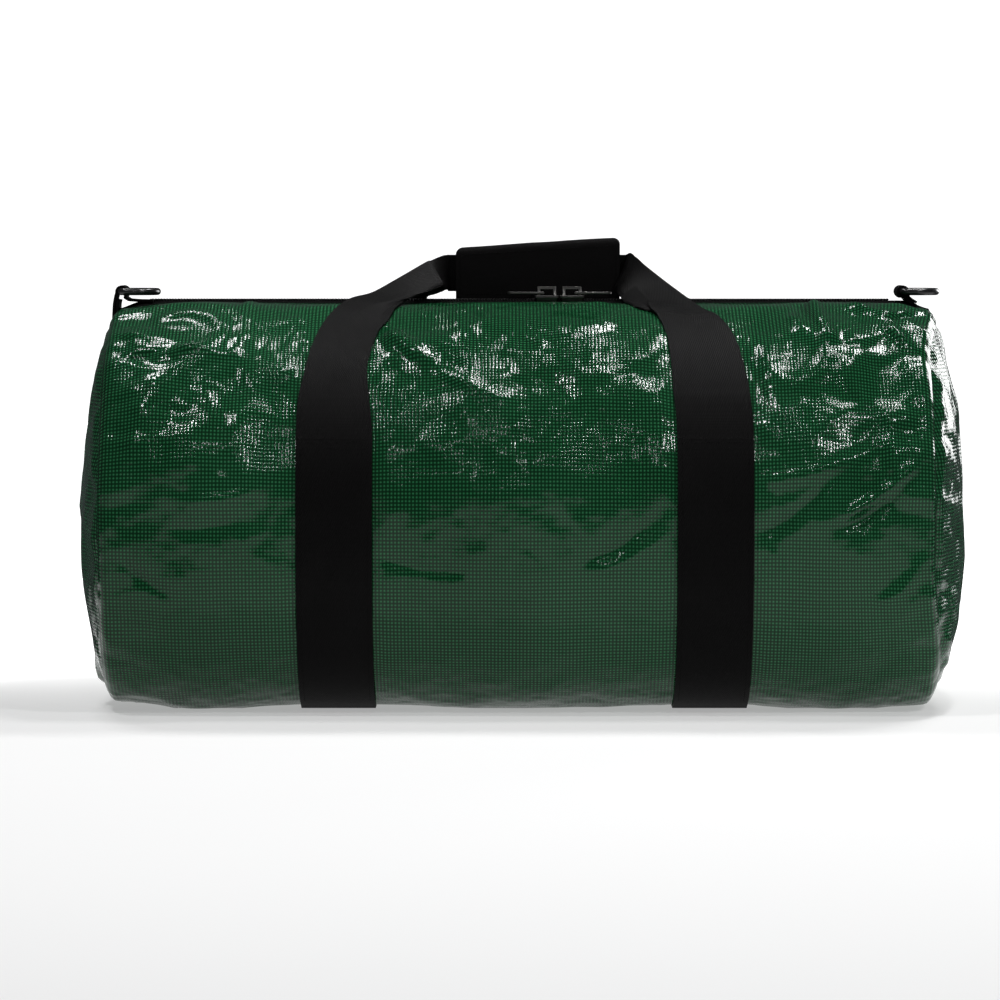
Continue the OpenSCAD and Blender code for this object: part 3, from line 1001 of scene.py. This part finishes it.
def make_strip(name, y0, y1, node, body, material):
    """A hook or loop strip, its tufted face to the front."""
    low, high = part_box(node)

    def place(u, v):
        x = low.x + (high.x - low.x) * u
        z = low.z + (high.z - low.z) * v
        return np.stack([x, np.full_like(x, y0), z], 1), np.stack([x, z], 1)

    strip = sheet(name, 60, 10, place)
    turn_out(strip, (0, -1, 0))
    apply_modifier(strip, "SOLIDIFY", thickness=abs(y1 - y0), offset=-1.0)
    set_coords(strip, tilt(coords(strip)))
    smooth(strip, 50)
    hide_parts(node)
    return dress(strip, material, body)


low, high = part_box("loop_strip")
make_strip("loop_patch", low.y, high.y, "loop_strip", "flap", LOOPS)
low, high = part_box("hook_strip")
make_strip("hook_patch", low.y, high.y, "hook_strip", "handle", HOOKS)

# ---------------------------------------------------------------- zip

TAPE_Z = 277.1 * MM
COIL_PITCH, COIL_WIRE = 2.0 * MM, 1.44 * MM


def tape_drop(x):
    """How far the zip tape falls towards the end seams, in mm."""
    return 6.0 * step(np.abs(x), 264.0, 286.0)


def make_tape(name, side, node):
    """One half of the zip's tape, with a cord under its coil."""
    def place(u, v):
        x = (2 * v - 1) * (HALF_L - 2 * MM)
        y = side * (0.75 + 19.0 * u) * MM
        sag = 0.3 * np.sin(x / 0.041 + side) * u
        drop = tape_drop(x / MM)
        cord = 0.95 * (1 - step(u, 0.12, 0.24))
        z = TAPE_Z + (sag * 0.5 - 3.0 * u**2 - drop + cord) * MM
        return np.stack([x, y, z], 1), np.stack([y, x], 1)

    tape = sheet(name, 12, 220, place)
    turn_out(tape, (0, 0, 1))
    apply_modifier(tape, "SOLIDIFY", thickness=0.7 * MM, offset=-1.0)
    smooth(tape, 50)
    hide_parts(node)
    return dress(tape, TAPE_CLOTH, "bag")


def make_coil(name, side, node, phase):
    """One loop of the nylon coil, repeated along the tape."""
    low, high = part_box(node)
    bpy.ops.object.select_all(action="DESELECT")
    bpy.ops.mesh.primitive_cylinder_add(
        vertices=8, radius=COIL_WIRE / 2, depth=2.9 * MM, rotation=(math.pi / 2, 0, 0)
    )
    loop = bpy.context.active_object
    bpy.ops.object.transform_apply(location=False, rotation=True, scale=False)
    apply_modifier(
        loop, "BEVEL", width=0.3 * MM, segments=1, limit_method="ANGLE",
        angle_limit=math.radians(60),
    )
    count = int((high.x - low.x) / COIL_PITCH) - 1
    places = []
    for i in range(count):
        x = low.x + COIL_PITCH * (i + 0.8 + phase)
        # the loop's lower run, and its upper run half a pitch on
        for ahead, rise, slant in ((0, 0.78, 0.12), (COIL_PITCH / 2, 1.6, -0.12)):
            point = np.array([x + ahead, side * 2.0 * MM, TAPE_Z + rise * MM])
            places.append((point, (1, slant * side, 0), (0, 0, 1)))
    coil = many(name, loop, places)
    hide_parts(node)
    return dress(coil, COIL_NYLON, "bag")


for side, name in ((-1, "front"), (1, "rear")):
    make_tape(f"tape_{name}", side, f"{name}_zip_tape")
    make_coil(f"coil_{name}", side, f"{name}_zip_coil", 0.0 if side < 0 else 0.5)

# ---------------------------------------------------------------- hardware


def softened(name, node, body, material, width):
    """A copy of a hard CAD piece with its edges broken."""
    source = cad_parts[node]
    obj = bpy.data.objects.new(name, source.data.copy())
    bpy.context.collection.objects.link(obj)
    only(obj)
    bpy.ops.object.mode_set(mode="EDIT")
    bpy.ops.mesh.select_all(action="SELECT")
    bpy.ops.mesh.remove_doubles(threshold=0.00001)
    bpy.ops.mesh.dissolve_limited(angle_limit=math.radians(1.0))
    bpy.ops.object.mode_set(mode="OBJECT")
    if width:
        apply_modifier(
            obj, "BEVEL", width=width, segments=2, limit_method="ANGLE",
            angle_limit=math.radians(35),
        )
    smooth(obj, 40)
    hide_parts(node)
    return dress(obj, material, body)


for side in ("left", "right"):
    for piece, node, body, material, slot, width in (
        ("slider", "slider", "slider", GUNMETAL, "slider_metal", 0.28 * MM),
        ("pull", "pull", "pull", GUNMETAL, "slider_metal", 0.3 * MM),
        ("ring", "d_ring", "ring", RING_PLASTIC, "ring_plastic", 0),
    ):
        softened(f"{piece}_{side}", f"{side}_{node}", f"{side}_{body}_body", material, width)


def make_tab(name, node, path, body):
    """Webbing folded round the ring's bar and sewn down. The path is in mm along X and Z."""
    path = np.array(path, float)
    length = np.concatenate([[0], np.cumsum(np.linalg.norm(np.diff(path, axis=0), axis=1))])

    def place(u, v):
        d = v * length[-1]
        x, z = np.interp(d, length, path[:, 0]), np.interp(d, length, path[:, 1])
        y = (2 * u - 1) * 12.6
        # its sides follow the cloth down
        z = z - 0.02 * (y / 4) ** 2 * (z < 281)
        return np.stack([x, y, z], 1) * MM, np.stack([y, d], 1) * MM

    tab = sheet(name, 12, 110, place)
    apply_modifier(tab, "SOLIDIFY", thickness=1.7 * MM, offset=0.0)
    smooth(tab, 50)
    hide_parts(node)
    return dress(tab, BLACK_WEBBING, body)


def round_bar(x, a0, a1, r=3.55, z=284.3, steps=14):
    angles = np.radians(np.linspace(a0, a1, steps))
    return [(x + r * math.cos(a), z + r * math.sin(a)) for a in angles]


# The left tab lies on the end of the zip, goes round the bar and down into the end seam
make_tab(
    "tab_left", "left_ring_tab",
    [(-258, 278.0), (-268, 278.2), (-275, 278.7), (-277.8, 280.4)] + round_bar(-280, -40, 190)
    + [(-284.4, 280.6), (-285.2, 276.0), (-285.8, 266.0)]
    + [(-283.4, 266.0), (-282.8, 276.0), (-282.2, 279.0)],
    "bag",
)
# The right tab is doubled, with both ends sewn down towards the end seam
make_tab(
    "tab_right", "right_ring_tab",
    [(273.4, 275.0), (270.4, 276.4), (267.4, 278.4), (265.8, 280.2)] + round_bar(264, -62, -318)
    + [(268.0, 280.8), (270.6, 278.8), (273.6, 277.0)],
    "bag",
)

# ---------------------------------------------------------------- stitching

PITCH = 3.6 * MM


def stitch_row(path, up, pitch=PITCH):
    """Stitches along a [x, y, z] path, with up the way out of the cloth."""
    path, up = np.asarray(path), np.asarray(up)
    far = np.concatenate([[0], np.cumsum(np.linalg.norm(np.diff(path, axis=0), axis=1))])
    out = []

    def along(table, d):
        return np.array([np.interp(d, far, table[:, k]) for k in range(3)])

    for d in np.arange(pitch / 2, far[-1], pitch):
        here, ahead = along(path, d), along(path, d + 0.4 * MM)
        if np.linalg.norm(ahead - here) > 1e-6:
            out.append((here, ahead - here, along(up, d)))
    return out


def out_of(s):
    """The way out of the cloth at lengths s along the section."""
    y, z, ny, nz = section(s)
    return np.stack([0 * ny, ny, nz], 1)


def strap_row(side, x_off, lift):
    """A row along a strap, up its front and up its rear, but not under the bag."""
    s = np.linspace(float(S_SEWN) + 0.003, GIRTH - float(S_SEWN) - 0.003, 260)
    x = np.full_like(s, side * STRAP_X + x_off)
    points = skin(x, s, lift=0.3 * MM + lift, folds=False)
    keep = points[:, 2] > 6 * MM
    rise = out_of(s)
    half = len(s) // 2
    rows = []
    for part in (slice(0, half), slice(half, None)):
        rows += stitch_row(points[part][keep[part]], rise[part][keep[part]])
    return rows


for side, side_name in ((-1, "left"), (1, "right")):
    rows = strap_row(side, -0.0222, STRAP_THICK) + strap_row(side, 0.0222, STRAP_THICK)
    # and across the strap where its free part starts
    for s0 in (float(S_SEWN) + 0.004, float(S_SEWN) + 0.008):
        for s1 in (s0, GIRTH - s0):
            x = side * STRAP_X + np.linspace(-0.0215, 0.0215, 30)
            s = np.full_like(x, s1)
            rows += stitch_row(skin(x, s, lift=0.3 * MM + STRAP_THICK, folds=False), out_of(s))
    seam = many(f"strap_stitches_{side_name}", stitch_unit(), rows)
    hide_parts(f"{side_name}_body_strap")
    dress(seam, THREAD, "bag")

# two rows beside the zip, through the cloth and the tape
for side, name in ((-1, "front"), (1, "rear")):
    rows = []
    for inset in (2.5 * MM, 8.5 * MM):
        x = np.linspace(-0.262, 0.262, 300)
        s = np.full_like(x, S_EDGE + inset)
        if side > 0:
            s = GIRTH - s
        rows += stitch_row(skin(x, s, lift=0.1 * MM), out_of(s), 3.2 * MM)
    seam = many(f"zip_stitches_{name}", stitch_unit(2.3 * MM, 0.45 * MM), rows)
    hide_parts(f"{name}_zip_tape")
    dress(seam, THREAD, "bag")

# the wrap's front face is sewn all round, 3 mm in from its edge
x0, x1, z0, z1, r = -44.5, 64.5, 282.6, 313.2, 4.0
loop = []
corners = ((x1 - r, z1 - r), (x0 + r, z1 - r), (x0 + r, z0 + r), (x1 - r, z0 + r))
for quarter, (cx, cz) in enumerate(corners):
    for a in np.radians(np.linspace(quarter * 90, quarter * 90 + 90, 7)):
        loop.append((cx + r * math.cos(a), 8.05, cz + r * math.sin(a)))
loop.append(loop[0])
loop = tilt(np.array(loop) * MM)
forward = np.tile([0.0, -1.0, 0.0], (len(loop), 1))
rows = stitch_row(loop, forward, 3.4 * MM)
seam = many("wrap_stitches", stitch_unit(2.4 * MM, 0.5 * MM), rows)
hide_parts("wrap_flap")
dress(seam, THREAD, "flap")

# ---------------------------------------------------------------- floor and light


def plane(name, width, depth, place, turn, material, shift=0.0):
    bpy.ops.object.select_all(action="DESELECT")
    bpy.ops.mesh.primitive_plane_add(size=1, location=place, rotation=turn)
    obj = bpy.context.active_object
    obj.name = name
    set_coords(obj, coords(obj) * (width, depth, 1) + (0, shift, 0))
    obj.data.materials.append(material)
    return obj


def floor_light_pool():
    """Painted pool of light: the floor glows white where the bag stands and greyer to the sides and
    towards the viewer, and glows brighter behind the bag, which paints out the bag's shadow there.
    """
    f = Finish("floor_light_pool")
    split = f.raw("ShaderNodeSeparateXYZ", None, {0: f.place()})
    x, y = Wire(f, split.outputs[0]), Wire(f, split.outputs[1])
    # painted pool of light: the floor's glow is full near the bag and fades to 0.12 to the sides
    # and far towards the viewer
    lit = (1.0 - (x.math("ABSOLUTE") - y * 0.11).smooth(0.42, 0.75)) * y.smooth(-3.4, -0.5)
    # painted light: the floor glows brighter behind the bag than in front of it, washing out the
    # bag's shadow there
    glow_behind_bag = f.mix(y.smooth(-0.10, 0.40), (0.37, 0.37, 0.37), (1.05, 1.05, 1.05))
    return f.surface(
        Base_Color=(0.50, 0.50, 0.50), Roughness=0.9, Specular_IOR_Level=0.0,
        Emission_Color=f.mix(lit, (0.12, 0.12, 0.12), glow_behind_bag), Emission_Strength=1.0,
    )


def backdrop_paint():
    f = Finish("backdrop_paint")
    return f.surface(
        Base_Color=(0.2, 0.2, 0.2), Roughness=0.9, Specular_IOR_Level=0.0,
        Emission_Color=(1.0, 1.0, 1.0), Emission_Strength=1.05,
    )


FLOOR_LIGHT_POOL = floor_light_pool()
plane("floor_front", 12.0, 6.2, (0, 0, 0), (0, 0, 0), FLOOR_LIGHT_POOL, -2.9)
floor_rear = plane("floor_rear", 12.0, 5.8, (0, 0, 0), (0, 0, 0), FLOOR_LIGHT_POOL, 3.1)
floor_rear.visible_glossy = False
backdrop = plane("backdrop", 2.6, 2.2, (0, 4.5, 0), (math.pi / 2, 0, 0), backdrop_paint())
backdrop.visible_glossy = False


def softbox(name, place, aim, size, power):
    data = bpy.data.lights.new(name, "AREA")
    data.shape, data.size, data.size_y = "RECTANGLE", size[0], size[1]
    data.energy = power
    lamp = bpy.data.objects.new(name, data)
    bpy.context.collection.objects.link(lamp)
    lamp.location = place
    lamp.rotation_euler = (Vector(aim) - Vector(place)).to_track_quat("-Z", "Y").to_euler()
    return lamp


softbox("key_left", (-0.8, -1.0, 2.2), (-0.1, 0, 0.15), (0.20, 0.12), 15)
softbox("key_low", (-0.1, -2.0, 1.5), (0, 0, 0.15), (0.16, 0.09), 3)
softbox("key_high", (0.45, -0.15, 2.2), (0.1, 0, 0.15), (0.36, 0.12), 13)
softbox("rear_left", (-0.68, 0.65, 2.1), (-0.1, 0, 0.2), (0.50, 0.14), 13)
softbox("rear_right", (0.78, 0.65, 2.1), (0.1, 0, 0.2), (0.62, 0.14), 21)
softbox("key_right", (1.15, -1.5, 1.6), (0.15, 0, 0.15), (0.16, 0.16), 14)
softbox("right_wall", (1.5, 1.6, 0.6), (0.3, 0, 0.15), (0.7, 0.9), 15)

world = bpy.data.worlds.new("world")
bpy.context.scene.world = world
world.use_nodes = True
world.node_tree.nodes["Background"].inputs[0].default_value = (0.9, 0.95, 1.0, 1)
world.node_tree.nodes["Background"].inputs[1].default_value = 0.06
bpy.context.scene.view_settings.view_transform = "Standard"
